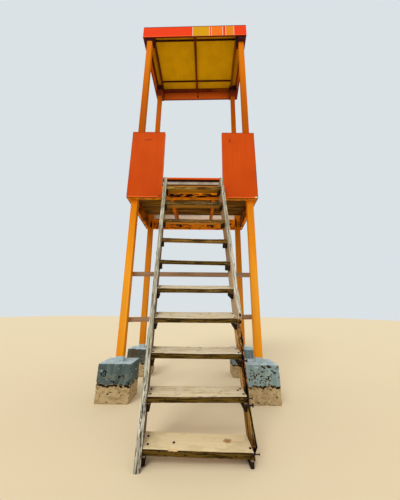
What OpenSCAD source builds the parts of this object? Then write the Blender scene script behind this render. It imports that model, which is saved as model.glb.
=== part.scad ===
// Lifeguard tower of painted timber: four posts on concrete footings, a boarded deck
// inside a sheeted guard, a flat roof with deep fascias, and a leaning plank ladder.
// The origin is on the ground, in the middle of the tower's footprint. The ladder is at -Y.

/* [Posts] */
// Side of the square post timber
post_w = 90; // [70:1:110]
// Distance between post centres, left to right
post_span_x = 1672; // [1500:1:1900]
// Distance between post centres, front to rear
post_span_y = 1075; // [980:1:1300]

/* [Footings] */
// Width of a concrete footing
footing_w = 390; // [300:1:480]
// Depth of a concrete footing, front to rear
footing_d = 370; // [300:1:480]
// Height of a footing above the lowest ground
footing_h = 404; // [250:1:600]
// How far a footing's sides lean in from bottom to top
footing_taper = 6; // [0:1:20]
// Bevel round a footing's top edge
footing_bevel = 12; // [2:1:30]
// How deep a post is set into its footing
post_embed = 120; // [40:1:200]

/* [Deck] */
// Height of the deck's walking surface
deck_height = 2763; // [2300:1:3200]
// Thickness of a deck board
board_t = 25; // [18:1:40]
// Width of a deck board
board_w = 106; // [70:1:150]
// Gap between two deck boards
board_gap = 8; // [3:1:20]
// Least width of the open strip between the last board and the rear posts
open_strip = 90; // [20:1:200]
// Thickness of the beams that are bolted round the posts
beam_t = 45; // [35:1:60]
// Height of those beams
beam_h = 205; // [140:1:240]
// Thickness of a joist
joist_t = 45; // [30:1:60]
// Height of a joist
joist_h = 140; // [60:1:200]
// Distance between the two joists' centres
joist_span = 632; // [400:1:900]

/* [Guard] */
// Height of the guard above the deck
guard_h = 906; // [800:1:1150]
// Thickness of the guard's sheets
panel_t = 12; // [6:1:20]
// How far a sheet stops above the underside of the beams
panel_lift = 10; // [0:1:60]
// Width of the doorway between the two front sheets
door_w = 880; // [840:1:1100]
// Height of the guard's top rail
top_rail_h = 45; // [30:1:90]
// Width of the stud at each side of the doorway
stud_w = 45; // [30:1:70]

/* [Roof] */
// Height from the deck to the lower edge of the fascias
headroom = 3022; // [2300:1:3300]
// Height of a fascia board
fascia_h = 240; // [160:1:320]
// Thickness of a fascia board
fascia_t = 27; // [18:1:40]
// How far the roof sits turned on the posts, clockwise seen from above
roof_turn = 1.6; // [0:0.1:2]
// Thinnest packing between the posts and the side fascias
side_packing = 14; // [4:1:30]
// Thinnest packing between the posts and the front and rear fascias
end_packing = 6; // [4:1:30]
// Thickness of the boards on the inner faces of a post's head
head_board_t = 30; // [15:1:40]
// How far the boards round a post's head hang below the fascias
head_drop = 42; // [0:1:90]
// Thickness of the roof sheet
roof_sheet_t = 12; // [8:1:25]
// Height of the roof's headers, ledgers and main battens
batten_h = 40; // [35:1:90]
// Width of the front and rear headers
header_w = 68; // [40:1:90]
// Width of the ledgers along the side fascias
ledger_w = 30; // [15:1:45]
// Width of the battens from front to rear
batten_w = 40; // [30:1:60]
// Distance from a side fascia to the middle of the outer batten
batten_inset = 126; // [90:1:300]
// Width of the two thin cross battens
cross_batten_w = 24; // [15:1:45]
// Height of the two thin cross battens
cross_batten_h = 25; // [12:1:34]
// Distance from the front fascia to the front cross batten
front_batten_inset = 170; // [160:1:300]
// Distance from the rear fascia to the rear cross batten
rear_batten_inset = 238; // [160:1:300]

/* [Ladder] */
// Gap between a rail and the edge of the doorway, with the ladder in the middle
ladder_side_gap = 32; // [30:1:80]
// Thickness of a rail plank
rail_t = 42; // [32:1:48]
// Width of a rail plank
rail_w = 168; // [150:1:220]
// Angle between the rails and the upright
ladder_lean = 20.2; // [12:0.1:28]
// How far the rail planks stand turned, anticlockwise seen from above
ladder_turn = 5.7; // [0:0.1:6]
// How far the rails' rear edges stop below the top of the front beam
rail_head_drop = 19; // [5:1:80]
// How far the ladder's head stands to the right of the doorway's middle
ladder_head_x = 20; // [-10:1:20]
// Number of treads
tread_count = 10; // [6:1:10]
// Height of the lowest tread's front edge
first_tread = 99; // [80:1:180]
// Height from the top tread's front edge to the deck
top_tread_drop = 154; // [120:1:220]
// Depth of a tread plank
tread_d = 162; // [140:1:195]
// Thickness of a tread plank
tread_t = 45; // [30:1:55]
// How far the treads' front edges sit behind the rails' front edges
tread_setback = 12; // [0:1:30]
// Width of the cleats nailed inside the rails
cleat_w = 22; // [15:1:50]
// Height of a cleat
cleat_h = 52; // [25:1:60]
// Length of a cleat, front to rear
cleat_d = 155; // [80:1:180]
// How far a cleat stands ahead of its tread's front edge
cleat_ahead = 12; // [0:1:20]
// Length of the rotten front corner at the foot of the right rail
rot_length = 200; // [60:1:260]
// How deep that rot reaches into the rail
rot_depth = 125; // [20:1:135]

/* [Braces] */
// Height of a brace board
brace_h = 60; // [40:1:100]
// Thickness of a brace board
brace_t = 25; // [18:1:40]
// Height of the upper brace's centre
upper_brace_z = 1468; // [1200:1:1900]
// Height of the lower brace's centre
lower_brace_z = 897; // [600:1:1100]
// Slope of the lower brace
lower_brace_slope = 1.7; // [0:0.1:3]
// How far a brace stops short of the posts' outer faces
brace_inset = 8; // [0:1:30]

/* [Fits] */
// Gap between two pieces that are fixed together
fit = 0.3; // [0.1:0.1:1]
// Gap round a post where a deck board is notched
notch_gap = 3; // [1:1:8]
// Width of the bevel on the timbers' long edges
edge_bevel = 3; // [0.5:0.5:5]

/* [Hidden] */
// Small settlement of each tread from its even place, bottom to top
tread_offset = [0, 1, -3, -12, -21, -3, -9, -9, -5, 0];
// Forward tilt of each tread, bottom to top
tread_tilt = [11, 9, 10, 19, 16, 12, 15, 15, 13, 13];
// Sideways tilt of each tread, bottom to top
tread_roll = [1.4, -0.4, 0.2, -0.1, 0, 0.9, 1, 0.4, 0.6, 0.2];

// Half widths, measured from the middle plane
post_x = post_span_x / 2;
outer_x = post_x + post_w / 2;
inner_x = post_x - post_w / 2;
frame_x = outer_x + beam_t;
guard_x = frame_x + panel_t;

// Heights
beam_top = deck_height - board_t;
beam_z = beam_top - beam_h;
guard_top = deck_height + guard_h;
panel_z = beam_z + panel_lift;
fascia_z = deck_height + headroom;
roof_under = fascia_z + fascia_h;
batten_z = roof_under - batten_h;
batten_top = roof_under - fit;
head_z = fascia_z - head_drop;

// Deck boards that fit in front of the open strip
board_pitch = board_w + board_gap;
board_count = floor((post_span_y + beam_t - open_strip + board_gap) / board_pitch);

// Ladder: its turned planks lean on the front beam within the doorway's width
ladder_clear = door_w - 2 * ladder_side_gap - 2 * rail_t;
left_per_rise = sin(ladder_turn) * tan(ladder_lean);
back_per_rise = cos(ladder_turn) * tan(ladder_lean);
ladder_foot_x = ladder_head_x + beam_top * left_per_rise;
rail_len = (beam_top - rail_head_drop + rail_w * sin(ladder_lean)) / cos(ladder_lean);
rail_reach = rail_w * cos(ladder_lean) + rail_len * sin(ladder_lean);
foot_to_beam = rail_reach * cos(ladder_turn) + fit;
right_foot_ahead = rail_t * sin(ladder_turn);
tread_rise = (deck_height - top_tread_drop - first_tread) / (tread_count - 1);

// Places along Y, with the origin midway between the ladder's feet and the rear footings
reach_front = foot_to_beam + beam_t + (rail_t - edge_bevel) * sin(ladder_turn);
reach_rear = post_span_y + post_w / 2 + footing_d / 2;
front_y = (reach_front - reach_rear) / 2;
front_in_y = front_y + post_w;
rear_y = front_in_y + post_span_y;
mid_y = (front_y + rear_y) / 2;
foot_y = front_y - beam_t - foot_to_beam;

// Roof: the fascias clear the posts however far the roof is turned on them
half_y = (post_span_y + post_w) / 2;
roof_in_x = outer_x * cos(roof_turn) + half_y * sin(roof_turn) + side_packing;
roof_in_y = half_y * cos(roof_turn) + outer_x * sin(roof_turn) + end_packing;
roof_x = roof_in_x + fascia_t;
roof_y = roof_in_y + fascia_t;
batten_x = roof_in_x - batten_inset;
head_reach = post_w / 2 + head_board_t;

// Box from its lowest corner to its highest corner
module bar(low, high) {
  translate(low) cube(high - low);
}

// Section of a sawn timber, with its four corners bevelled
module section(w, h) {
  b = edge_bevel;
  polygon([[b, 0], [w - b, 0], [w, b], [w, h - b], [w - b, h], [b, h], [0, h - b], [0, b]]);
}

// Sawn timber along X, from its lowest corner to its highest corner
module along_x(low, high) {
  size = high - low;
  translate(low) rotate([90, 0, 90]) linear_extrude(size.x) section(size.y, size.z);
}

// Sawn timber along Y
module along_y(low, high) {
  size = high - low;
  translate([low.x, high.y, low.z]) rotate([90, 0, 0]) linear_extrude(size.y) section(size.x, size.z);
}

// Sawn timber along Z
module along_z(low, high) {
  size = high - low;
  translate(low) linear_extrude(size.z) section(size.x, size.y);
}

// Children as drawn for the right side (1), or mirrored to the left side (-1)
module on_side(side) {
  mirror([side < 0 ? 1 : 0, 0, 0]) children();
}

// Place of a post: side -1 is left, 1 is right; row 0 is front, 1 is rear
module at_post(side, row) {
  translate([side * post_x, front_y + post_w / 2 + row * post_span_y, 0]) children();
}

// Outline of a footing seen from one side, with leaning faces and a bevelled top
module footing_outline(base) {
  half = base / 2;
  shoulder = half - footing_taper * (1 - footing_bevel / footing_h);
  top = half - footing_taper - footing_bevel;
  polygon([
    [-half, 0],
    [half, 0],
    [shoulder, footing_h - footing_bevel],
    [top, footing_h],
    [-top, footing_h],
    [-shoulder, footing_h - footing_bevel]
  ]);
}

// Concrete block with leaning sides and a socket for its post
module footing(side, row) {
  socket = post_w / 2 + fit;
  color("#7d9599") at_post(side, row) difference() {
    intersection() {
      rotate([90, 0, 0]) linear_extrude(footing_d, center = true) footing_outline(footing_w);
      rotate([90, 0, 90]) linear_extrude(footing_w, center = true) footing_outline(footing_d);
    }
    bar([-socket, -socket, footing_h - post_embed - fit], [socket, socket, 2 * footing_h]);
  }
}

// Square post, in one length from its footing to the roof sheet
module post(side, row) {
  half = post_w / 2;
  color("#e0820f") at_post(side, row)
    along_z([-half, -half, footing_h - post_embed], [half, half, roof_under - fit]);
}

// Beam across the front or the rear, between the two side beams
module cross_beam(y) {
  color("#d87a10") along_x(
    [-outer_x + fit, y, beam_z],
    [outer_x - fit, y + beam_t - fit, beam_top]
  );
}

// Beam along one side, bolted to the outer faces of both posts
module side_beam(side) {
  color("#d87a10") on_side(side) along_y(
    [outer_x + fit, front_y - beam_t, beam_z],
    [frame_x, rear_y + beam_t, beam_top]
  );
}

// Joist on edge, from the front beam to the rear beam
module joist(side) {
  middle = side * joist_span / 2;
  color("#b9620d") along_y(
    [middle - joist_t / 2, front_y + fit, beam_top - joist_h],
    [middle + joist_t / 2, rear_y - fit, beam_top]
  );
}

// Deck boards from side to side, notched round the front posts
module deck_boards() {
  notch = post_w / 2 + notch_gap;
  color("#6b4b22") difference() {
    for (i = [0 : board_count - 1]) {
      y = front_y - beam_t + i * board_pitch;
      along_x([-frame_x, y, beam_top + fit], [frame_x, y + board_w, deck_height]);
    }
    for (side = [-1, 1]) at_post(side, 0)
      bar([-notch, -notch, beam_z], [notch, notch, guard_top]);
  }
}

// Sheet beside the doorway, over the ends of the side beam and side sheet
module front_panel(side) {
  color("#d4521a") on_side(side) bar(
    [door_w / 2, front_y - beam_t - panel_t, panel_z],
    [guard_x, front_y - beam_t - fit, guard_top]
  );
}

// Sheet along one side, outside the side beam
module side_panel(side) {
  color("#d4521a") on_side(side) bar(
    [frame_x + fit, front_y - beam_t, panel_z],
    [guard_x, rear_y + beam_t, guard_top]
  );
}

// Sheet across the rear, over the ends of the side sheets
module rear_panel() {
  color("#d4521a") bar(
    [-guard_x, rear_y + beam_t + fit, panel_z],
    [guard_x, rear_y + beam_t + panel_t, guard_top]
  );
}

// Top rail beside the doorway, on the front post
module top_rail_front(side) {
  color("#d9601c") on_side(side) along_x(
    [door_w / 2, front_y - beam_t, guard_top - top_rail_h],
    [outer_x - fit, front_y - fit, guard_top]
  );
}

// Top rail along one side
module top_rail_side(side) {
  color("#d9601c") on_side(side) along_y(
    [outer_x + fit, front_y - beam_t, guard_top - top_rail_h],
    [frame_x, rear_y + beam_t, guard_top]
  );
}

// Top rail across the rear
module top_rail_rear() {
  color("#d9601c") along_x(
    [-outer_x + fit, rear_y + fit, guard_top - top_rail_h],
    [outer_x - fit, rear_y + beam_t, guard_top]
  );
}

// Stud that stiffens the free edge of a front sheet, from the deck to the top rail
module door_stud(side) {
  color("#d87a10") on_side(side) along_z(
    [door_w / 2, front_y - beam_t, deck_height + fit],
    [door_w / 2 + stud_w, front_y - fit, guard_top - top_rail_h - fit]
  );
}

// Frame of the roof, which sits a little turned on the posts
module in_roof() {
  translate([0, mid_y, 0]) rotate([0, 0, -roof_turn]) children();
}

// Fascia board across the front (-1) or the rear (1), over the ends of the side fascias
module fascia_across(end) {
  color("#ee4f22") in_roof() mirror([0, end < 0 ? 1 : 0, 0])
    along_x([-roof_x, roof_in_y, fascia_z], [roof_x, roof_y, roof_under - fit]);
}

// Fascia board along one side
module fascia_along(side) {
  color("#c9401b") in_roof() on_side(side) along_y(
    [roof_in_x, -roof_in_y + fit, fascia_z],
    [roof_x, roof_in_y - fit, roof_under - fit]
  );
}

// Sheet that covers the whole roof
module roof_sheet() {
  color("#b58208") in_roof()
    bar([-roof_x, -roof_y, roof_under], [roof_x, roof_y, roof_under + roof_sheet_t]);
}

// Space between the heads of the left and the right posts, or of the front and the rear posts
module between_left_and_right() {
  half = post_x - head_reach - fit;
  translate([0, mid_y, 0]) bar([-half, -2 * roof_y, head_z], [half, 2 * roof_y, roof_under]);
}

module between_front_and_rear() {
  half = post_span_y / 2 - head_reach - fit;
  translate([0, mid_y, 0]) bar([-2 * roof_x, -half, head_z], [2 * roof_x, half, roof_under]);
}

// Headers inside the front and rear fascias, and ledgers inside the side fascias
module roof_ledgers() {
  color("#6e2c12") {
    for (end = [0, 1]) intersection() {
      in_roof() mirror([0, end, 0]) along_x(
        [-roof_in_x, roof_in_y - header_w, batten_z],
        [roof_in_x, roof_in_y - fit, batten_top]
      );
      between_left_and_right();
    }
    for (side = [-1, 1]) intersection() {
      in_roof() on_side(side) along_y(
        [roof_in_x - ledger_w, -roof_in_y, batten_z],
        [roof_in_x - fit, roof_in_y, batten_top]
      );
      between_front_and_rear();
    }
  }
}

// Battens from front to rear: the middle one joins the headers, the outer ones join the posts' heads
module roof_battens() {
  half = batten_w / 2;
  end_y = roof_in_y - header_w - fit;
  color("#6e2c12") {
    in_roof() along_y([-half, -end_y, batten_z], [half, end_y, batten_top]);
    for (side = [-1, 1]) intersection() {
      in_roof() translate([side * batten_x, 0, 0])
        along_y([-half, -roof_in_y, batten_z], [half, roof_in_y, batten_top]);
      between_front_and_rear();
    }
  }
}

// Two thin battens across, each cut at the middle batten
module cross_battens() {
  from_x = batten_w / 2 + fit;
  to_x = batten_x - batten_w / 2 - fit;
  front_batten_y = -roof_in_y + front_batten_inset;
  rear_batten_y = roof_in_y - rear_batten_inset - cross_batten_w;
  color("#6e2c12") in_roof() for (side = [-1, 1], y = [front_batten_y, rear_batten_y])
    on_side(side) along_x(
      [from_x, y, roof_under - cross_batten_h],
      [to_x, y + cross_batten_w, batten_top]
    );
}

// Four boards round the head of a post, the outer two cut to fill the gap to the fascias
module post_head(side, row) {
  half = post_w / 2;
  near = half + fit;
  far = 2 * post_w;
  color("#4a2118") intersection() {
    at_post(side, row) on_side(side) mirror([0, row < 1 ? 1 : 0, 0]) {
      bar([-head_reach, near, head_z], [far, far, batten_top]);
      bar([-head_reach, -head_reach, head_z], [far, -near, batten_top]);
      bar([near, -half, head_z], [far, half, batten_top]);
      bar([-head_reach, -half, head_z], [-near, half, batten_top]);
    }
    in_roof() bar(
      [-roof_in_x + fit, -roof_in_y + fit, head_z],
      [roof_in_x - fit, roof_in_y - fit, roof_under]
    );
  }
}

// Frame of a rail plank: X outwards from its inner face, Y from its front edge to its rear edge,
// Z up along it. The right plank stands ahead, so that both heads touch the beam.
module in_rail(side) {
  translate([
    ladder_foot_x + side * ladder_clear / 2,
    foot_y - (side > 0 ? right_foot_ahead : 0),
    0
  ]) rotate([-ladder_lean, 0, ladder_turn]) on_side(side) children();
}

// Everything above the ground, to cut the ladder's foot level
module above_ground() {
  bar([-2 * guard_x, 2 * foot_y, 0], [2 * guard_x, rear_y, roof_under]);
}

// Rotten front corner at the foot of a rail, seen from the side
module rot_outline() {
  polygon([
    [-rail_w, rot_length],
    [0, rot_length],
    [rot_depth * 0.25, rot_length * 0.62],
    [rot_depth * 0.55, rot_length * 0.45],
    [rot_depth, 0],
    [rot_depth, -rail_w],
    [-rail_w, -rail_w]
  ]);
}

// Plank on edge, cut level at the ground; the right one has lost its front corner to rot
module ladder_rail(side) {
  color("#a39f8b") intersection() {
    in_rail(side) difference() {
      along_z([0, 0, -rail_w], [rail_t, rail_w, rail_len]);
      if (side > 0) rotate([90, 0, 90]) linear_extrude(4 * rail_t, center = true) rot_outline();
    }
    above_ground();
  }
}

// Height of the front edge of tread i, counted from the ground up
function tread_z(i) = first_tread + i * tread_rise + tread_offset[i];

// Frame of tread i: X along it, Y from its front edge to its rear edge, Z up from its top face
module at_tread(i) {
  z = tread_z(i);
  x = ladder_foot_x - z * left_per_rise;
  y = foot_y + z * back_per_rise + tread_setback;
  translate([x, y, z]) rotate([tread_tilt[i], tread_roll[i], 0]) children();
}

// Space beside the inner face of a rail, to a given width
module inside_rail(side, width) {
  in_rail(side) bar([-width, -2 * rail_w, -rail_w], [-fit, 2 * rail_w, rail_len + rail_w]);
}

// Plank treads, each with its own tilt, level with the beam and cut to fit the turned rails
module ladder_treads() {
  color("#b7a582") for (i = [0 : tread_count - 1]) intersection() {
    at_tread(i) along_x([-ladder_clear, 0, -tread_t], [ladder_clear, tread_d, 0]);
    inside_rail(-1, 2 * ladder_clear);
    inside_rail(1, 2 * ladder_clear);
  }
}

// Cleats inside the rails, one under each end of each tread
module tread_cleats() {
  top = -tread_t - fit;
  color("#3b2a1c") for (i = [0 : tread_count - 1], side = [-1, 1]) intersection() {
    at_tread(i) bar(
      [-ladder_clear, -cleat_ahead, top - cleat_h],
      [ladder_clear, cleat_d - cleat_ahead, top]
    );
    inside_rail(side, cleat_w);
    above_ground();
  }
}

// Board nailed across the rear faces of the two front posts
module brace(z, slope) {
  half = outer_x - brace_inset;
  color("#8f6f60") translate([0, front_in_y + fit, z]) rotate([0, -slope, 0])
    along_x([-half, 0, -brace_h / 2], [half, brace_t, brace_h / 2]);
}

footing(-1, 0);  // footing_front_left
footing(1, 0);  // footing_front_right
footing(-1, 1);  // footing_rear_left
footing(1, 1);  // footing_rear_right
post(-1, 0);  // post_front_left
post(1, 0);  // post_front_right
post(-1, 1);  // post_rear_left
post(1, 1);  // post_rear_right
cross_beam(front_y - beam_t);  // front_beam
cross_beam(rear_y + fit);  // rear_beam
side_beam(-1);  // side_beam_left
side_beam(1);  // side_beam_right
joist(-1);  // joist_left
joist(1);  // joist_right
deck_boards();
front_panel(-1);  // front_panel_left
front_panel(1);  // front_panel_right
side_panel(-1);  // side_panel_left
side_panel(1);  // side_panel_right
rear_panel();
top_rail_front(-1);  // top_rail_front_left
top_rail_front(1);  // top_rail_front_right
top_rail_side(-1);  // top_rail_left
top_rail_side(1);  // top_rail_right
top_rail_rear();
door_stud(-1);  // door_stud_left
door_stud(1);  // door_stud_right
fascia_across(-1);  // fascia_front
fascia_across(1);  // fascia_rear
fascia_along(-1);  // fascia_left
fascia_along(1);  // fascia_right
roof_sheet();
roof_ledgers();
roof_battens();
cross_battens();
post_head(-1, 0);  // post_head_front_left
post_head(1, 0);  // post_head_front_right
post_head(-1, 1);  // post_head_rear_left
post_head(1, 1);  // post_head_rear_right
ladder_rail(-1);  // ladder_rail_left
ladder_rail(1);  // ladder_rail_right
ladder_treads();
tread_cleats();
brace(upper_brace_z, 0);  // brace_upper
brace(lower_brace_z, lower_brace_slope);  // brace_lower
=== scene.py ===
import math

import bmesh
import bpy
from mathutils import Euler, Matrix, Vector, noise


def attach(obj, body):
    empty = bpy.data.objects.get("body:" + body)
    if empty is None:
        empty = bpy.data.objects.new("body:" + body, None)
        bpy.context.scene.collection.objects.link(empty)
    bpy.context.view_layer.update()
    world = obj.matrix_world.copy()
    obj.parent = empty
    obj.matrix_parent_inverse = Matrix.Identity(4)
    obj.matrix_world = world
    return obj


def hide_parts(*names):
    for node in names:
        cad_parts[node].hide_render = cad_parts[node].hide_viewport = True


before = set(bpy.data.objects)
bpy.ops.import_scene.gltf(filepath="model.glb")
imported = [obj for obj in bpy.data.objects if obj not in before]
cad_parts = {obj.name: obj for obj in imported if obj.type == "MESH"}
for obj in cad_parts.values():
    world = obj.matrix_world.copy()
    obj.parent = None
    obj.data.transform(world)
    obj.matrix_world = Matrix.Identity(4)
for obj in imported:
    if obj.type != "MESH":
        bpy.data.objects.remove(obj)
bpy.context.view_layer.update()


# Footings: four cast concrete blocks that the posts are set into.
# Each is brushed with grey-blue masonry paint, which stops at a ragged line above the ground.
# The paint is bleached on top; low down the concrete is rough, chipped and bare.
footing_paint = "#768e98"
footing_shade = "#566c72"
footing_light = "#96adb4"
footing_bleached = "#a8c4d2"
raw_concrete = "#bba680"
damp_concrete = "#1f1a12"
footing_stain = "#5a4326"
crack_black = "#120e08"
paint_line = 0.19
footing_width, footing_depth, footing_height = 0.390, 0.370, 0.404
footing_lean = 0.006
footing_front = -0.181
socket_half, socket_floor = 0.0453, 0.2837
post_x, front_post_y, rear_post_y = 0.836, 0.003875, 1.078875


def linear(colour):
    """An sRGB hex colour as the linear colour that a shader takes."""
    parts = [int(colour[i:i + 2], 16) / 255 for i in (1, 3, 5)]
    return [p / 12.92 if p < 0.04045 else ((p + 0.055) / 1.055) ** 2.4 for p in parts] + [1]


def add(material, kind, inputs=None, **settings):
    """Adds a node with its settings, and fills its inputs with values, masks, nodes or their outputs."""
    made = material.node_tree.nodes.new("ShaderNode" + kind)
    for name, value in settings.items():
        setattr(made, name, value)
    for name, value in (inputs or {}).items():
        while callable(value):
            value = value(material)
        if isinstance(value, bpy.types.Node):
            value = value.outputs[0]
        if isinstance(value, bpy.types.NodeSocket):
            material.node_tree.links.new(value, made.inputs[name])
        else:
            made.inputs[name].default_value = value
    return made


def new_material(name, colour, roughness, ior=1.5, shine=0.08):
    """A material of one colour, ready for its layers. Dust and weather dull its clean shine of 0.5."""
    material = bpy.data.materials.new(name)
    material.use_nodes = True
    shader = material.node_tree.nodes["Principled BSDF"]
    for setting, value in (("Base Color", linear(colour)), ("Roughness", roughness), ("IOR", ior),
                           ("Specular IOR Level", shine)):
        shader.inputs[setting].default_value = value
    return material


def point(material):
    """The point being shaded in the tower's frame, or along the grain where the material has such a frame."""
    known = material.node_tree.nodes
    return known.get("Along the grain") or (
        known.get("Texture Coordinate") or add(material, "TexCoord")).outputs["Object"]


def as_mask(lay):
    """Lets a mask be written without its material, which the node that takes the mask fills in."""
    return lambda *sizes, **named: lambda material: lay(material, *sizes, **named)


@as_mask
def blotches(material, size, cut, edge=0.05, detail=4.0, shift=0.0):
    """Mask of blotches as long as size along X, Y and Z. A higher cut makes them rarer."""
    placed = add(material, "Mapping", {
        "Vector": point(material), "Scale": [1 / s for s in size], "Location": [shift] * 3})
    cloud = add(material, "TexNoise", {"Vector": placed, "Scale": 1.0, "Detail": detail})
    return add(material, "MapRange", {
        "Value": cloud, "From Min": cut - edge, "From Max": cut + edge,
    }, interpolation_type="SMOOTHSTEP")


@as_mask
def rising(material, axis, start, end):
    """Mask that grows from 0 at start to 1 at end along an axis."""
    place = add(material, "SeparateXYZ", {0: point(material)})
    return add(material, "MapRange", {
        "Value": place.outputs[axis], "From Min": start, "From Max": end,
    }, interpolation_type="SMOOTHSTEP")


@as_mask
def facing(material, axis, start, end):
    """Mask of the faces whose outward direction along an axis lies between start and end."""
    normal = add(material, "SeparateXYZ", {0: add(material, "NewGeometry").outputs["Normal"]})
    return add(material, "MapRange", {
        "Value": normal.outputs[axis], "From Min": start, "From Max": end,
    }, interpolation_type="SMOOTHSTEP")


@as_mask
def spot(material, centre, size, rag=0.35):
    """Mask of one ragged spot, round a centre, with a half size along X, Y and Z."""
    placed = add(material, "Mapping", {
        "Vector": point(material), "Scale": [1 / s for s in size],
        "Location": [-c / s for c, s in zip(centre, size)]})
    reach = add(material, "VectorMath", {0: placed}, operation="LENGTH").outputs["Value"]
    cloud = add(material, "TexNoise", {
        "Vector": placed, "Scale": 1.7, "Detail": 4.0, "Roughness": 0.7})
    torn = add(material, "Math", {0: cloud, 1: 4 * rag, 2: reach}, operation="MULTIPLY_ADD")
    return add(material, "MapRange", {
        "Value": torn, "From Min": 1.05 + 2 * rag, "From Max": 0.9 + 2 * rag})


@as_mask
def shared(material, *masks):
    """Mask of what lies in all the masks. Each of them is a mask or the share that it lets through."""
    result = masks[0]
    for mask in masks[1:]:
        result = add(material, "Math", {0: result, 1: mask}, operation="MULTIPLY")
    return result


def coat(material, colour, *masks):
    """Lays another colour over the material's colour, where all the masks are."""
    base = material.node_tree.nodes["Principled BSDF"].inputs["Base Color"]
    under = base.links[0].from_socket if base.links else base.default_value
    mixed = add(material, "Mix", {0: shared(*masks), 6: under, 7: linear(colour)}, data_type="RGBA")
    material.node_tree.links.new(mixed.outputs[2], base)


def coats(material, rows):
    """Lays several colours over the material's colour, each in a row with its masks."""
    for colour, *masks in rows:
        coat(material, colour, *masks)


def relief(material, mask, depth):
    """Raises the surface by the depth, in metres, where the mask is."""
    raised = add(material, "Bump", {"Height": mask, "Distance": depth, "Strength": 1.0})
    shader = material.node_tree.nodes["Principled BSDF"]
    material.node_tree.links.new(raised.outputs[0], shader.inputs["Normal"])


def cover(made, material):
    """Gives a piece its one material."""
    made.data.materials.clear()
    made.data.materials.append(material)


def stand_for(replaced, made, material):
    """Gives a piece its material, and ties it to the tower in the place of a CAD node."""
    cover(made, material)
    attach(made, "root")
    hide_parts(replaced)


def reshape(made, name, kind, **settings):
    """Reshapes a piece by a modifier, which is applied at once."""
    modifier = made.modifiers.new(name, kind)
    for setting, value in settings.items():
        setattr(modifier, setting, value)
    bpy.context.view_layer.objects.active = made
    bpy.ops.object.modifier_apply(modifier=name)


def pick(made, kind, rule):
    """Selects the edges or the faces that a rule picks, on a piece in edit mode."""
    bpy.ops.mesh.select_all(action="DESELECT")
    shape = bmesh.from_edit_mesh(made.data)
    for part in getattr(shape, kind):
        part.select_set(rule(part))
    bmesh.update_edit_mesh(made.data)


def runs_along(edge, axis):
    """Whether an edge runs along an axis (0, 1 or 2)."""
    run = edge.verts[0].co - edge.verts[1].co
    return abs(run[axis]) > 0.999 * run.length


def block(name, low, high, ease, parts):
    """A block from its lowest to its highest corner, with eased edges, cut into parts along X, Y and Z."""
    bpy.ops.mesh.primitive_cube_add(
        size=1, location=[(a + b) / 2 for a, b in zip(low, high)], scale=[b - a for a, b in zip(low, high)])
    made = bpy.context.object
    made.name = name
    bpy.ops.object.transform_apply()
    reshape(made, "eased edges", "BEVEL", width=ease, segments=2)
    bpy.ops.object.mode_set(mode="EDIT")
    bpy.ops.mesh.select_mode(type="EDGE")
    for axis, count in enumerate(parts):
        pick(made, "edges", lambda edge: runs_along(edge, axis))
        bpy.ops.mesh.subdivide(number_cuts=count - 1)
    bpy.ops.object.mode_set(mode="OBJECT")
    return made


def worn_by(made, wear):
    """Moves each point of a piece to where the wear leaves it."""
    for vertex in made.data.vertices:
        vertex.co = wear(vertex.co.copy())


def settle(made, place):
    """Puts a piece in its place and leaves its object at the origin."""
    bpy.ops.object.select_all(action="DESELECT")
    made.select_set(True)
    bpy.context.view_layer.objects.active = made
    made.matrix_world = place
    bpy.ops.object.transform_apply()


# Masonry paint on cast concrete is matt, IOR 1.5, with pits 2 mm deep and brush strokes 60 mm wide.
painted_concrete = new_material("painted_concrete", footing_paint, 0.9)
block_top = facing("Z", 0.3, 0.8)
left_blocks = rising("X", 0.2, -0.2)
right_front_block = shared(rising("X", 0.5, 0.6), rising("Y", 0.3, 0.2))
coats(painted_concrete, [
    (footing_shade, blotches((0.06, 0.06, 0.4), 0.52, 0.12), 0.8),
    (footing_light, blotches((0.05, 0.05, 0.3), 0.58, 0.1, shift=4.0), 0.8),
    # The left blocks are darker, and the rear one of them browner still as painted shade.
    ("#303a2e", left_blocks, 0.62),
    ("#4a412c", left_blocks, rising("Y", 0.5, 0.7), 0.6),
    ("#a8c2c8", right_front_block, 0.3),
    (footing_bleached, block_top, 0.85),
    ("#c0d6e2", block_top, blotches((0.08, 0.08, 0.08), 0.5, 0.1, shift=3.0)),
    (raw_concrete, block_top, blotches((0.05, 0.07, 0.06), 0.62, 0.06, shift=3.5), 0.4)])
# Chips through the paint are dark, with a lighter rim of old filler; the right front block has most of them.
chipped = add(painted_concrete, "Math", {
    0: rising("Z", paint_line + 0.12, paint_line + 0.04), 1: right_front_block}, operation="MAXIMUM")
chip_groups = blotches((0.11, 0.11, 0.10), 0.5, 0.03, 2.0, shift=5.5)
for colour, cut, edge in (("#b4b8a0", 0.535, 0.02), (damp_concrete, 0.555, 0.012)):
    coat(painted_concrete, colour, chipped, chip_groups, facing("Z", 0.6, 0.3),
         blotches((0.026, 0.026, 0.021), cut, edge, 5.0, shift=5.0))
# The left front block has four groups of black cracks.
for x, z, wide, high in ((-0.952, 0.300, 0.036, 0.034), (-0.746, 0.268, 0.045, 0.018),
                         (-0.643, 0.205, 0.05, 0.03), (-0.824, 0.214, 0.05, 0.026)):
    coat(painted_concrete, crack_black, spot((x, footing_front, z), (wide, 0.05, high), 0.5),
         blotches((0.022, 0.022, 0.016), 0.5, 0.015, 5.0, shift=5.8))
coat(painted_concrete, footing_stain, spot((-0.93, 0.895, 0.36), (0.03, 0.06, 0.16), 0.5), 0.7)
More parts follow.
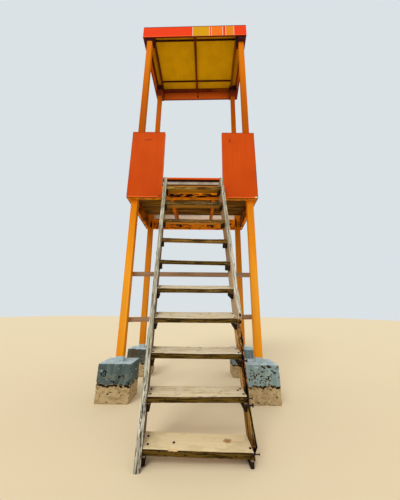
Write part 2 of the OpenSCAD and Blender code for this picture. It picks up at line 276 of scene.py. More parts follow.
# The paint ends in a line that waves up and down by up to 25 mm, with a black crust along it.
line_wave, wave_height = blotches((0.035, 0.035, 0.5), 0.5, 0.2, 8.0, shift=1.0), 0.025
place = add(painted_concrete, "SeparateXYZ", {0: point(painted_concrete)})
waved_height = add(painted_concrete, "Math", {
    0: line_wave, 1: wave_height, 2: place.outputs["Z"]}, operation="MULTIPLY_ADD")
below_line = add(painted_concrete, "MapRange", {
    "Value": waved_height, "From Min": paint_line + 0.018, "From Max": paint_line + 0.012})
coats(painted_concrete, [
    (raw_concrete, below_line),
    ("#8e7c58", below_line, blotches((0.05, 0.05, 0.03), 0.55, 0.1, shift=6.0), 0.7),
    (damp_concrete, below_line, blotches((0.03, 0.03, 0.018), 0.64, 0.02, shift=7.0))])
line_crust = add(painted_concrete, "MapRange", {
    "Value": waved_height, "From Min": paint_line - 0.014, "From Max": paint_line - 0.008})
coat(painted_concrete, crack_black, below_line, line_crust,
     blotches((0.035, 0.035, 0.02), 0.45, 0.03, 5.0, shift=7.5))
relief(painted_concrete, blotches((0.012, 0.012, 0.012), 0.5, 0.3), 0.002)


def cast_wear(at):
    """Leans the sides of a block in, chips its edges, and roughens it where no paint covers it."""
    lean = 1 - footing_lean / (footing_width / 2) * at.z / footing_height
    rough = 0.0015 + 0.008 * max(0.0, min(1.0, (paint_line - at.z) / 0.05))
    pits = (0.5 + 0.5 * noise.noise(at * 45 + here)) * rough
    chips = 0.03 * max(0.0, noise.noise(at * 22 - here) - 0.28)
    shrink = 1 - (pits + chips) / (footing_width / 2)
    low = 0.4 * chips if at.z > 0.39 else 0.0
    return Vector((at.x * lean * shrink, at.y * lean * shrink, at.z - low))


for row, post_y in (("front", front_post_y), ("rear", rear_post_y)):
    for side, hand in ((-1, "left"), (1, "right")):
        # Each block wears in its own pattern, taken from another part of the noise.
        here = Vector((5.3 * side, 7.1 * post_y, 0.0))
        footing = block("cast_footing_%s_%s" % (row, hand), (-footing_width / 2, -footing_depth / 2, 0),
                        (footing_width / 2, footing_depth / 2, footing_height), 0.010, (30, 28, 31))
        worn_by(footing, cast_wear)
        bpy.ops.mesh.primitive_cube_add(
            size=2 * socket_half, location=(0, 0, socket_floor + socket_half * 3), scale=(1, 1, 3))
        socket = bpy.context.object
        reshape(footing, "socket", "BOOLEAN", object=socket)
        bpy.data.objects.remove(socket)
        settle(footing, Matrix.Translation((side * post_x, post_y, 0)))
        stand_for("footing_%s_%s" % (row, hand), footing, painted_concrete)


# Posts: four square softwood posts, each in one length from its footing to the roof sheet.
# They are brushed with orange gloss paint, and their feet with the footings' paint.
# The grain and the knots show through the paint as darker marks.
orange_paint = "#f79e1c"
orange_shade = "#e0861a"
orange_knot = "#8a4f14"
worn_timber = "#a06a34"
post_foot_top = 0.460


@as_mask
def worn_edge(material, width=0.008):
    """Mask of the edges, as wide as the paint wears off them."""
    rounded = add(material, "Bevel", {"Radius": width}, samples=4)
    flat = add(material, "NewGeometry").outputs["Normal"]
    turn = add(material, "VectorMath", {0: rounded, 1: flat}, operation="DOT_PRODUCT")
    return add(material, "MapRange", {"Value": turn.outputs["Value"], "From Min": 0.995, "From Max": 0.93})


def with_grain(along, across, length):
    """Sizes along X, Y and Z of a mark in timber whose grain runs along an axis (0, 1 or 2)."""
    return [length if axis == along else across for axis in range(3)]


def painted_timber(name, paint, shade, along, shift, knot=orange_knot, worn=worn_timber, wear=0.66):
    """Brushed gloss paint on sawn softwood, with the grain along an axis (0, 1 or 2)."""
    # Gloss paint that has weathered is satin, IOR 1.5. Growth rings stand 9 mm apart and run on for
    # about half a metre; the saw marks and the brush leave a relief of under a millimetre.
    material = new_material(name, paint, 0.6, shine=0.02)
    coat(material, shade, blotches(with_grain(along, 0.12, 0.9), 0.52, 0.15, shift=shift), 0.6)
    grain = blotches(with_grain(along, 0.009, 0.5), 0.54, 0.12, shift=shift + 1)
    coat(material, shade, grain, 0.7)
    cells = add(material, "Mapping", {
        "Vector": point(material), "Scale": [1 / s for s in with_grain(along, 0.09, 0.5)],
        "Location": [shift] * 3})
    knots = add(material, "TexVoronoi", {"Vector": cells, "Scale": 1.0})
    near_knot = add(material, "MapRange", {
        "Value": knots.outputs["Distance"], "From Min": 0.11, "From Max": 0.06})
    coat(material, knot, near_knot, 0.7)
    coat(material, worn, worn_edge(), blotches(with_grain(along, 0.03, 0.12), wear, 0.03, shift=shift + 2))
    relief(material, grain, 0.0006)
    return material


def dress(material, *starts):
    """Gives a material to each CAD node whose name starts in one of these ways."""
    for name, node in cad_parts.items():
        if name.startswith(starts):
            cover(node, material)


post_paint = painted_timber("orange_gloss_on_posts", orange_paint, orange_shade, 2, 0.0)
# Painted sunlight makes the posts paler a metre up; painted shade darkens them under the deck, most above the
# guard.
shaded_rear_posts = rising("Y", 0.6, 0.9)
shaded_above_guard = rising("Z", 3.0, 3.5)
post_foot = rising("Z", post_foot_top, post_foot_top - 0.004)
coats(post_paint, [
    ("#ffc44a", rising("Z", 0.45, 0.9), rising("Z", 1.9, 1.4), 0.28),
    ("#c85e02", rising("Z", 1.8, 2.5), 0.35),
    # Painted shade darkens the rear posts.
    ("#b4640c", shaded_rear_posts, 0.55),
    ("#db7704", shaded_above_guard, 0.7),
    ("#ab4c02", shaded_above_guard, rising("Z", 5.5, 3.8), 0.8),
    ("#be5402", shaded_rear_posts, shaded_above_guard, 0.65),
    # Painted shade darkens each post's face towards +X.
    ("#c97406", facing("X", 0.6, 0.8), 0.5),
    ("#b0c6d0", post_foot),
    ("#bcb298", post_foot, blotches((0.04, 0.04, 0.03), 0.55, 0.08, shift=3.0), 0.5)])
# A narrow dark upright mark is painted on the front of each rear post, at the bolt that holds the rear beam.
for x, z, wide, high in ((-0.818, 2.575, 0.020, 0.07), (0.800, 2.63, 0.016, 0.1)):
    coat(post_paint, "#1c0f08", spot((x, 1.034, z), (wide, 0.02, high), 0.35))
dress(post_paint, "post_front", "post_rear")


# Deck beams: planks on edge, bolted to the posts, two across and two along the sides.
# The rear and side beams keep their orange paint, soiled, with rust and painted shade where the joists and
# posts meet the rear beam.
# The front beam's paint has peeled in its lower half, down to the dark primer.
beam_soil = "#5a2a10"
bare_primer = "#32131a"
peeled_wood = "#b0701c"
rust = "#4a2415"
rust_and_shade_black = "#1e0a10"
rear_beam_front, front_beam_front = 1.124, -0.087
beam_paint = painted_timber("orange_gloss_on_beams", "#ea8a12", "#c9700e", 0, 4.0)
coat(beam_paint, beam_soil, blotches((0.09, 0.12, 0.035), 0.57, 0.03, shift=4.5), 0.8)
# A broken dark line in the primer's colour runs along the rear and side beams, 2.63 m up.
coat(beam_paint, bare_primer, rising("Z", 2.618, 2.634), rising("Z", 2.65, 2.64),
     blotches((0.07, 0.07, 0.02), 0.55, 0.03, shift=4.7))
# The inner faces of the side beams are painted brown for the shade under the deck, with darker brown blotches.
for inward, edge_x in ((1, -0.85), (-1, 0.85)):
    inner_face = shared(facing("X", 0.5 * inward, 0.7 * inward), rising("X", edge_x + 0.05 * inward, edge_x))
    coat(beam_paint, "#7a4012", inner_face, 0.65)
    coat(beam_paint, "#3a1a0c", inner_face, blotches((0.1, 0.25, 0.05), 0.52, 0.06, shift=4.9 + inward), 0.8)
# Below each joist the rear beam's face is black with rust from the hanger and painted shade, with a thin
# painted shadow between.
on_rear_beam = rising("Y", 1.0, 1.1)
for x, z, wide, high in ((-0.306, 2.628, 0.05, 0.011), (-0.268, 2.592, 0.022, 0.03),
                         (0.305, 2.628, 0.055, 0.011), (0.352, 2.592, 0.024, 0.03),
                         (0.262, 2.605, 0.014, 0.02), (0.0, 2.634, 0.2, 0.005)):
    coat(beam_paint, rust_and_shade_black, spot((x, rear_beam_front, z), (wide, 0.03, high), 0.6), on_rear_beam)
# Its ends by the posts are black with rust and painted shade.
for x in (-0.74, 0.73):
    coat(beam_paint, rust_and_shade_black, spot((x, rear_beam_front, 2.61), (0.07, 0.03, 0.07), 0.4), on_rear_beam,
         blotches((0.04, 0.05, 0.022), 0.53, 0.02, 5.0, shift=4.8))
dress(beam_paint, "rear_beam", "side_beam")

front_beam_paint = painted_timber("peeling_orange_gloss", "#f8960c", "#e07c08", 0, 6.0)
coat(front_beam_paint, peeled_wood, rising("Z", 2.66, 2.61),
     blotches((0.12, 0.12, 0.03), 0.5, 0.02, shift=6.5))
coat(front_beam_paint, bare_primer, rising("Z", 2.625, 2.60), rising("Z", 2.548, 2.556),
     blotches((0.09, 0.09, 0.025), 0.47, 0.015, shift=7.0))
for x, z, wide in ((-0.25, 2.572, 0.09), (0.29, 2.575, 0.13)):
    coat(front_beam_paint, bare_primer, spot((x, front_beam_front, z), (wide, 0.03, 0.014)))
dress(front_beam_paint, "front_beam")

# The bolts are rusty M12 ones, each with a washer and a hexagon nut, dull with IOR 2.3 for iron oxide.
rusty_iron = new_material("rusty_iron", rust, 0.9, 2.3, 0.2)
coat(rusty_iron, "#1f120c", blotches((0.006, 0.006, 0.006), 0.5, 0.1, shift=2.0))
coat(rusty_iron, "#7a3a1a", blotches((0.01, 0.01, 0.01), 0.58, 0.08, shift=3.0), 0.7)
relief(rusty_iron, blotches((0.002, 0.002, 0.002), 0.5, 0.3), 0.0004)


def turned(sides, radius, low, high, lip):
    """A turned or hexagonal piece that stands on its axis, with its upper edge drawn in by the lip."""
    bpy.ops.mesh.primitive_cylinder_add(
        vertices=sides, radius=radius, depth=high - low, location=(0, 0, (high + low) / 2))
    made = bpy.context.object
    bpy.ops.object.transform_apply()
    bpy.ops.object.mode_set(mode="EDIT")
    bpy.ops.mesh.select_mode(type="FACE")
    pick(made, "faces", lambda face: face.normal.z > 0.9)
    bpy.ops.mesh.inset(thickness=lip)
    bpy.ops.transform.translate(value=(0, 0, 0.5 * lip))
    bpy.ops.object.mode_set(mode="OBJECT")
    return made


def joined(name, parts):
    """Several parts as one piece, with its object at the origin."""
    bpy.ops.object.select_all(action="DESELECT")
    for part in parts:
        part.select_set(True)
    bpy.context.view_layer.objects.active = parts[0]
    bpy.ops.object.join()
    bpy.ops.object.transform_apply()
    parts[0].name = name
    return parts[0]


def set_out(name, pattern, places):
    """Copies of a pattern at places, each a point and the direction that it faces, as one piece."""
    copies = []
    for at, way in places:
        copy = pattern.copy()
        copy.data = pattern.data.copy()
        bpy.context.collection.objects.link(copy)
        turn = Vector(way).to_track_quat("Z", "Y").to_matrix().to_4x4()
        copy.matrix_world = Matrix.Translation(at) @ turn
        copies.append(copy)
    return joined(name, copies)


def fastened(made, material):
    """Gives nails or bolts their material and ties them to the tower."""
    cover(made, material)
    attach(made, "root")


# A washer, a nut and the end of the thread, each with its radius and its height over the timber.
washer_radius, nut_radius, thread_radius = 0.019, 0.0105, 0.006
washer_top, nut_top, thread_top = 0.0025, 0.0115, 0.019
bolt_end = joined("bolt_end", [
    turned(20, washer_radius, -0.0005, washer_top, 0.001), turned(6, nut_radius, washer_top, nut_top, 0.0015),
    turned(12, thread_radius, nut_top, thread_top, 0.0012)])
rear_post_front, front_post_rear, side_beam_inner = 1.033875, 0.048875, 0.8815
bolts = set_out("beam_bolts", bolt_end, (
    [((x, rear_post_front, z), (0, -1, 0)) for x, z in ((-0.829, 2.60), (0.805, 2.645))]
    + [((x, front_post_rear, z), (0, 1, 0)) for x in (-post_x, post_x) for z in (2.585, 2.69)]
    + [((side * side_beam_inner, y, z), (-side, 0, 0))
       for side in (-1, 1) for y, z in ((0.985, 2.565), (0.125, 2.6))]))
fastened(bolts, rusty_iron)


# Joists: two planks on edge from the front beam to the rear beam, held at both ends by steel hangers.
# They have the beams' orange paint, soiled, and painted darker for the shade under the deck, most at the rear
# ends.
joist_paint = painted_timber("shaded_orange_gloss", "#cf7414", "#9a520f", 1, 9.0)
coat(joist_paint, beam_soil, blotches((0.05, 0.25, 0.05), 0.55, 0.05, shift=9.5), 0.7)
coat(joist_paint, "#2a130a", rising("Y", 0.93, 1.05), 0.7)
dress(joist_paint, "joist")

# A hanger is folded from 2 mm strip 40 mm wide: under the joist, up both its sides, and out onto the beam.
# It is rusted to a matt dark brown, in patches 20 mm wide.
joist_x, joist_half, joist_under, hanger_top = 0.316, 0.0227, 2.5975, 2.70
strip_width, strip_thickness, hanger_ear = 0.040, 0.002, 0.025
hanger_steel = new_material("rusted_hanger_steel", "#3a2016", 0.85, 2.3, 0.25)
coat(hanger_steel, "#1a0f0b", blotches((0.02, 0.02, 0.02), 0.5, 0.1, shift=2.0))


def meets_beam(edge):
    """Whether an upright edge of the hanger stands on the side being folded, next to the beam."""
    middle = (edge.verts[0].co + edge.verts[1].co) / 2
    return runs_along(edge, 2) and side * (middle.x - x) > 0 and inward * (beam_y - middle.y) > -0.005


hangers = []
for x in (-joist_x, joist_x):
    for beam_y, inward in ((-0.0411, 1), (1.1239, -1)):
        bpy.ops.mesh.primitive_plane_add(size=1, location=(x, beam_y + 0.021 * inward, joist_under - 0.0012))
        hanger = bpy.context.object
        hanger.scale = (2 * joist_half, strip_width, 1)
        bpy.ops.object.transform_apply()
        bpy.ops.object.mode_set(mode="EDIT")
        bpy.ops.mesh.select_mode(type="EDGE")
        pick(hanger, "edges", lambda edge: runs_along(edge, 1))
        bpy.ops.mesh.extrude_region_move(TRANSFORM_OT_translate={"value": (0, 0, hanger_top - joist_under)})
        for side in (-1, 1):
            pick(hanger, "edges", meets_beam)
            bpy.ops.mesh.extrude_region_move(TRANSFORM_OT_translate={"value": (side * hanger_ear, 0, 0)})
        bpy.ops.mesh.select_all(action="SELECT")
        bpy.ops.mesh.normals_make_consistent(inside=False)
        bpy.ops.object.mode_set(mode="OBJECT")
        reshape(hanger, "strip", "SOLIDIFY", thickness=strip_thickness, offset=0)
        hangers.append(hanger)
fastened(joined("joist_hangers", hangers), hanger_steel)


# Deck: nine softwood boards from side to side, nailed down through to the joists and beams.
# They were never painted: golden brown below, grey and sandy on top where they are walked on.
deck_under = "#a07222"
deck_under_dark = "#553812"
deck_top = "#a2977f"
deck_surface = 2.763
first_board, board_pitch, board_width = -0.086125, 0.114, 0.106


def bare_timber(name, colour, dark, along, shift, crack="#2a2013"):
    """Unpainted softwood left outdoors, with the grain along an axis (0, 1 or 2)."""
    # Bare wood is matt, IOR 1.45. The summer wood wears into furrows 8 mm apart, and drying opens
    # cracks 2 mm wide that run on for 200 mm or more; they are drawn 4 mm wide so that they show.
    material = new_material(name, colour, 0.85, 1.45)
    grain = blotches(with_grain(along, 0.008, 0.35), 0.52, 0.14, shift=shift + 1)
    coats(material, [
        (dark, blotches(with_grain(along, 0.09, 0.6), 0.5, 0.16, shift=shift), 0.7),
        (dark, grain, 0.65),
        (crack, blotches(with_grain(along, 0.012, 0.6), 0.66, 0.02, 2.0, shift=shift + 2), 0.8)])
    relief(material, grain, 0.0008)
    return material


deck_timber = bare_timber("unpainted_deck_softwood", deck_under, deck_under_dark, 0, 12.0)
faces_up = facing("Z", 0.5, 0.8)
coats(deck_timber, [
    ("#5c4018", blotches((3.0, 0.11, 3.0), 0.5, 0.05, 1.0, shift=12.4), 0.6),
    ("#c89c54", blotches((0.7, 0.022, 3.0), 0.58, 0.04, shift=12.6), 0.5),
    ("#1e1206", blotches((0.9, 0.018, 3.0), 0.55, 0.03, shift=12.8), 0.85),
    ("#2c1d0c", rising("Y", 0.1, -0.06), 0.5),
    (deck_top, faces_up, 0.8),
    ("#8d8370", faces_up, blotches((0.2, 0.03, 0.2), 0.5, 0.1, shift=13.0), 0.8)])
dress(deck_timber, "deck_boards")

# Round wire nails, 8 mm across the head, rusted dark; each head is slightly domed.
nail_head = turned(8, 0.0038, -0.001, 0.0006, 0.0016)
nail_lines = (-0.903, -joist_x, joist_x, 0.903)
deck_nails = set_out("deck_nails", nail_head, [
    ((x + 0.003 * noise.noise(Vector((x, board, part)) * 9.1),
      first_board + board * board_pitch + part * board_width, deck_surface), (0, 0, 1))
    for board in range(9) for x in nail_lines for part in (0.25, 0.75)
    if not (board in (0, 1) and abs(x) > 0.8)])
fastened(deck_nails, rusty_iron)


# Guard sheets: 12 mm plywood nailed to the beams, posts and top rails.
# Outside they have red-orange gloss paint, rolled on and even, with a few scuffs and chips.
# Inside they are bare, bleached nearly white.
guard_paint = "#d25314"
guard_shade = "#c2460e"
guard_inside = "#d6d0c4"
ply_edge = "#ee7434"
ply_core = "#e2d6bd"
guard_low, guard_top = 2.543, 3.669

faces_front, faces_rear = facing("Y", -0.5, -0.8), facing("Y", 0.5, 0.8)
faces_left, faces_right = facing("X", -0.5, -0.8), facing("X", 0.5, 0.8)
faces_down = facing("Z", -0.5, -0.8)

painted_ply = new_material("red_orange_gloss_on_ply", guard_paint, 0.6, shine=0.03)
# Rolled gloss is nearly even: clouds 300 mm wide, the ply's grain 15 mm wide under it, and fine orange peel.
coat(painted_ply, guard_shade, blotches((0.3, 0.3, 0.45), 0.5, 0.2, shift=20.0), 0.7)
coat(painted_ply, guard_shade, blotches((0.015, 0.015, 0.5), 0.52, 0.15, shift=21.0), 0.35)
front_outside = shared(faces_front, rising("Y", 0.2, 0.1))
outside = front_outside
for face in (shared(faces_left, rising("X", 0.1, -0.1)), shared(faces_right, rising("X", -0.1, 0.1)),
             shared(faces_rear, rising("Y", 1.1735, 1.1765)), faces_up):
    outside = add(painted_ply, "Math", {0: outside, 1: face}, operation="MAXIMUM")
inside = add(painted_ply, "Math", {0: 1.0, 1: outside}, operation="SUBTRACT")
coats(painted_ply, [
    (guard_inside, inside),
    ("#a79b86", inside, blotches((0.2, 0.2, 0.25), 0.55, 0.12, shift=22.0), 0.6),
    ("#f4e8d8", inside, rising("Z", 2.85, 2.80), 0.7),
    # Painted shadow darkens the inside of the sheets just below the top rails.
    ("#1a1210", inside, rising("Z", 3.592, 3.602), 0.95),
    (ply_edge, worn_edge(0.006), outside, 0.6),
    (ply_edge, front_outside, rising("Z", guard_low + 0.022, guard_low + 0.012), 0.7),
    # The lower edges are black with mould and painted shade, and the outer borders of the front sheets are
    # black with mould.
    ("#1d120c", faces_down),
    ("#2a1710", front_outside, rising("X", 0.9275, 0.933), rising("Z", 3.6, 2.9), 0.9),
    ("#5a2410", front_outside, rising("X", -0.930, -0.936), 0.7),
    ("#6a2a12", front_outside, rising("Z", guard_top - 0.012, guard_top - 0.006), 0.7)])
scuffed_paint = "#8f3310"
for x, z, wide, high in ((-0.705, 3.519, 0.045, 0.008), (-0.66, 3.53, 0.02, 0.006),
                         (-0.466, 2.566, 0.02, 0.014), (0.56, 3.52, 0.012, 0.03)):
    coat(painted_ply, scuffed_paint, front_outside, spot((x, -0.098, z), (wide, 0.02, high), 0.8))
coat(painted_ply, ply_core, front_outside, spot((0.912, -0.098, 2.556), (0.022, 0.03, 0.012), 0.3))
relief(painted_ply, blotches((0.006, 0.006, 0.006), 0.5, 0.4), 0.0003)
dress(painted_ply, "front_panel", "side_panel", "rear_panel")

# The sheets' nails were painted over with them; they stand in a row along the beams and the top rails.
painted_nail = new_material("painted_nail_heads", "#cf4f18", 0.55)
coat(painted_nail, scuffed_paint, blotches((0.05, 0.05, 0.05), 0.55, 0.05, shift=2.0), 0.8)
sheet_front, sheet_side, sheet_rear, nail_pitch = -0.098125, 0.938, 1.180875, 0.2
guard_places = []
for z in (guard_low + 0.07, guard_top - 0.022):
    guard_places += [((side * x, sheet_front, z), (0, -1, 0))
                     for side in (-1, 1) for x in (0.47, 0.62, 0.77, 0.905)]
    guard_places += [((side * sheet_side, -0.05 + nail_pitch * step, z), (side, 0, 0))
                     for side in (-1, 1) for step in range(7)]
    guard_places += [((-0.9 + nail_pitch * step, sheet_rear, z), (0, 1, 0)) for step in range(10)]
fastened(set_out("guard_nails", nail_head, guard_places), painted_nail)


# Top rails and door studs: sawn battens behind the sheets' top edges and beside the doorway.
# They were painted together with the sheets.
rail_paint = painted_timber("red_orange_gloss_on_rails", "#ea5220", "#cb4416", 0, 24.0, "#6e230c")
# The rear rail is painted brighter, as painted light.
coat(rail_paint, "#ff6406", rising("Y", 0.9, 1.1), 0.95)
# The rails' undersides are painted dark, as painted shade.
coat(rail_paint, "#2c120c", faces_down, 0.85)
dress(rail_paint, "top_rail", "door_stud")


# Braces: two thin boards nailed across the rear of the front posts, one of them sloping.
# They are old unpainted boards, weathered to a pinkish brown.
brace_timber = bare_timber("weathered_pinkish_board", "#a98a6e", "#846650", 0, 27.0)
dress(brace_timber, "brace")
brace_rear = front_post_rear + 0.0253
upper_brace, lower_brace, brace_slope = 1.468, 0.897, math.tan(math.radians(1.7))
brace_nails = [((x, brace_rear, upper_brace + rise), (0, 1, 0))
               for x in (-0.85, -0.81, 0.812, 0.852) for rise in (-0.013, 0.014)]
brace_nails += [((x, brace_rear, lower_brace + rise + x * brace_slope), (0, 1, 0))
                for x in (-0.853, -0.814, 0.81, 0.85) for rise in (-0.014, 0.012)]
fastened(set_out("brace_nails", nail_head, brace_nails), rusty_iron)


# Roof: fascia boards round a sheet of ply, with battens under it, turned a little on the posts.
# The fascias are bright red outside, with plain painted bands on the front one, and brown-red inside.
# The sheet is ochre below and faded orange on top.
fascia_colour = "#f4451e"
fascia_inside = "#e4742a"
roof_turn = math.radians(1.6)
roof_middle = 0.541375
roof_half_x, roof_half_y, roof_low = 0.937921, 0.639872, 5.785

fascia_paint = painted_timber("red_gloss_on_fascias", fascia_colour, "#e6431d", 0, 30.0,
                              "#c0320f", "#ff7a45", 0.6)
roof_place = add(fascia_paint, "Mapping", {
    "Vector": point(fascia_paint), "Location": (0, roof_middle, 0), "Rotation": (0, 0, -roof_turn)},
    vector_type="TEXTURE")
roof_xyz = add(fascia_paint, "SeparateXYZ", {0: roof_place})


@as_mask
def within(material, axis, middle, half):
    """Mask of what lies within half of a middle, along an axis of the roof."""
    across = add(material, "Math", {0: roof_xyz.outputs[axis], 1: -middle}, operation="ADD")
    away = add(material, "Math", {0: across}, operation="ABSOLUTE")
    return add(material, "MapRange", {
        "Value": away, "From Min": half + 0.001, "From Max": half - 0.001})


fascia_inner = shared(within("X", 0, 0.913), within("Y", 0, 0.6145))
fascia_front = shared(faces_front, rising("Y", 0.2, 0.1))
coats(fascia_paint, [
    (fascia_inside, fascia_inner),
    # Painted shade darkens the inner faces towards the sheet, and the fascias' lower edges.
    ("#a84812", fascia_inner, rising("Z", 5.80, 6.02), 0.8),
    ("#6a1c10", faces_down),
    ("#ff6a30", fascia_front, rising("Z", 5.805, 5.795))])
# Three upright bands right of the middle, each with a thin pale line on either side.
for middle, half, colour in ((0.12, 0.15, "#d9a212"), (0.41, 0.10, "#f47a20"), (0.64, 0.07, "#e88a1c")):
    for reach, band_colour in ((half + 0.008, "#ecdcdc"), (half, colour)):
        coat(fascia_paint, band_colour, fascia_front, within("X", middle, reach))
# A dark split, with a hole at its foot, inside the rear fascia.
coat(fascia_paint, "#4a1e0e", fascia_inner, spot((0.039, 1.155, 5.93), (0.006, 0.04, 0.09), 0.1))
coat(fascia_paint, "#14080a", fascia_inner, spot((0.039, 1.155, 5.855), (0.015, 0.04, 0.05), 0.15))
dress(fascia_paint, "fascia")

# The ochre below is flat and even; the orange on top has weathered in blotches 150 mm wide.
roof_sheet_paint = new_material("ochre_paint_on_ply", "#d6a606", 0.75, shine=0.03)
roof_up = facing("Z", 0.3, 0.6)
coats(roof_sheet_paint, [
    ("#c29606", blotches((0.25, 0.25, 0.25), 0.52, 0.14, shift=33.0), 0.55),
    ("#a88208", blotches((0.03, 0.2, 0.1), 0.6, 0.1, shift=34.0), 0.2),
    ("#c86a32", roof_up),
    ("#a88a6c", roof_up, blotches((0.15, 0.2, 0.1), 0.54, 0.12, shift=35.0), 0.7),
    ("#6a2a14", facing("Z", 0.6, 0.3), facing("Z", -0.6, -0.3))])
dress(roof_sheet_paint, "roof_sheet")

# The ledgers and battens have a dark red stain that has sunk in, so their grain shows.
roof_timber = painted_timber("dark_red_stain_on_battens", "#7a3412", "#541f0e", 1, 37.0, "#2a100a")
coat(roof_timber, "#a85c12", rising("X", 0.3, 0.6), rising("Z", 6.02, 5.99), facing("X", 0.3, -0.3))
dress(roof_timber, "roof_ledgers", "roof_battens")
# The two thin cross battens are darker still, nearly black.
cross_timber = painted_timber("near_black_cross_battens", "#46201a", "#2a120e", 0, 38.0, "#120806")
dress(cross_timber, "cross_battens")

# The packing round the post heads is nearly black, but brown-red low down at the rear.
post_head_timber = bare_timber("near_black_softwood", "#4a2630", "#2a1420", 2, 40.0, "#140a10")
coat(post_head_timber, "#8a3a18", rising("Z", 5.90, 5.86), rising("Y", 0.6, 0.9), 0.7)
dress(post_head_timber, "post_head")

# Nails hold the fascias to each other at the corners and the side ones to the ledgers.
turned_roof = Matrix.Translation((0, roof_middle, 0)) @ Matrix.Rotation(-roof_turn, 4, "Z")
roof_places = []
for z in (roof_low + 0.04, roof_low + 0.12, roof_low + 0.20):
    roof_places += [((side * (roof_half_x - 0.013), end * roof_half_y, z), (0, end, 0))
                    for side in (-1, 1) for end in (-1, 1)]
roof_places += [((side * roof_half_x, y, z), (side, 0, 0))
                for side in (-1, 1) for y in (-0.55, 0.0, 0.55) for z in (roof_low + 0.06, roof_low + 0.19)]
fastened(set_out("roof_nails", nail_head, [
    (turned_roof @ Vector(at), turned_roof.to_3x3() @ Vector(way)) for at, way in roof_places]), painted_nail)


# Ladder rails: two planks on edge that lean on the front beam, turned a little in plan.
# They are bare softwood weathered silver grey. The right one is rotten for a third of its height:
# its outer front corner is eaten away, and its foot has lost the whole front corner.
rail_grey = "#bfc3b5"
rail_dark = "#7a7462"
rot_brown = "#1d130c"
rot_black = "#0d0805"
rail_thickness, rail_width, rail_length = 0.042, 0.168, 2.959
ladder_lean, ladder_turn = math.radians(20.2), math.radians(5.7)
ladder_clear = 0.732
ladder_foot = Vector((0.120054, -1.260001, 0))
ladder_timber = new_material("silver_grey_softwood", rail_grey, 0.85, 1.45)
along_rails = add(ladder_timber, "Mapping", {
    "Vector": point(ladder_timber), "Location": ladder_foot, "Rotation": (-ladder_lean, 0, ladder_turn)},
    vector_type="TEXTURE")
along_rails.name = "Along the grain"
# Silver grain 10 mm wide, dark cracks 120 mm long, and specks of mould 50 mm long near the ground.
rail_grain = blotches((0.009, 0.01, 0.25), 0.52, 0.08, shift=51.0)
coats(ladder_timber, [
    ("#a0947e", blotches((0.05, 0.06, 0.7), 0.5, 0.12, shift=50.0), 0.6),
    ("#ecebe0", blotches((0.012, 0.02, 0.16), 0.55, 0.04, shift=50.5), 0.75),
    (rail_dark, rail_grain, 0.75),
    ("#4a4438", blotches((0.011, 0.02, 0.12), 0.59, 0.03, shift=51.5), 0.8),
    (rot_brown, rising("Z", 1.0, 0.2), blotches((0.012, 0.02, 0.05), 0.55, 0.03, shift=52.0), 0.85),
    ("#e2dfcc", rising("X", 0.2, 0.3), rising("Z", 1.0, 1.2), rising("Z", 2.0, 1.6), 0.15)])
for inward, edge_x in ((1, -0.2), (-1, 0.2)):
    coat(ladder_timber, "#bfa283", facing("X", 0.5 * inward, 0.8 * inward),
         rising("X", edge_x + 0.1 * inward, edge_x), 0.8)
right_rail = rising("X", 0.1, 0.2)
near_ground = rising("Z", 0.42, 0.34)
rotten = shared(right_rail, rising("Z", 1.02, 0.94), rising("Y", 0.13, 0.07))
coats(ladder_timber, [
    ("#80583a", faces_left, right_rail, rising("Z", 1.3, 1.8), 0.6),
    # The left rail's inner face is painted dark, as painted shade.
    ("#4a3a22", faces_right, rising("X", -0.1, -0.2), 0.75),
    # An old trace of red paint runs up the left rail's outer front edge.
    ("#d8622c", rising("X", -0.402, -0.405), rising("Z", 0.75, 0.3), rising("Y", 0.016, 0.010),
     blotches((0.02, 0.02, 0.1), 0.45, 0.06, shift=53.0)),
    # The right rail's front is rotten: orange-brown fibres up to the fourth tread, olive near the ground,
    # with one black crack along it and a hole at its top.
    ("#7c6230", faces_left, right_rail, rising("Z", 0.46, 0.40), 0.85),
    ("#c8985c", rotten),
    ("#b4742c", rotten, rising("Z", 0.86, 0.72), 0.8),
    ("#dfb270", rotten, rising("Y", 0.02, 0.04), rising("Z", 0.42, 0.5), 0.95),
    ("#8a6a28", rotten, near_ground),
    ("#b08c44", rotten, near_ground, rising("Y", 0.05, 0.03)),
    ("#2c1c0c", rotten, rising("Z", 0.19, 0.15), 0.8),
    (rot_brown, rotten, rising("Z", 0.84, 0.76), blotches((0.011, 0.014, 0.14), 0.53, 0.04, shift=54.0), 0.9),
    ("#7a4820", rotten, blotches((0.02, 0.02, 0.05), 0.55, 0.05, shift=55.0), 0.65),
    # Black specks of rot stand close together below the hole.
    (rot_black, rotten, rising("Z", 1.0, 0.96), rising("Y", 0.055, 0.03), rising("Z", 0.35, 0.5),
     blotches((0.012, 0.016, 0.03), 0.51, 0.03, 5.0, shift=55.5), 0.9)])
rail_xyz = add(ladder_timber, "SeparateXYZ", {0: point(ladder_timber)})
crack_x = add(ladder_timber, "MapRange", {
    "Value": rail_xyz.outputs["Z"], "From Min": 0.12, "From Max": 0.34, "To Min": 0.390, "To Max": 0.374})
ripple = add(ladder_timber, "TexNoise", {"Vector": point(ladder_timber), "Scale": 30.0})
off_crack = add(ladder_timber, "Math", {0: rail_xyz.outputs["X"], 1: crack_x}, operation="SUBTRACT")
rippled = add(ladder_timber, "Math", {0: ripple, 1: 0.008, 2: off_crack}, operation="MULTIPLY_ADD")
away = add(ladder_timber, "Math", {0: rippled}, operation="ABSOLUTE")
near_crack = add(ladder_timber, "MapRange", {"Value": away, "From Min": 0.0055, "From Max": 0.0035})
coat(ladder_timber, rot_black, rotten, near_crack, rising("Z", 0.76, 0.72), rising("Y", 0.07, 0.05))
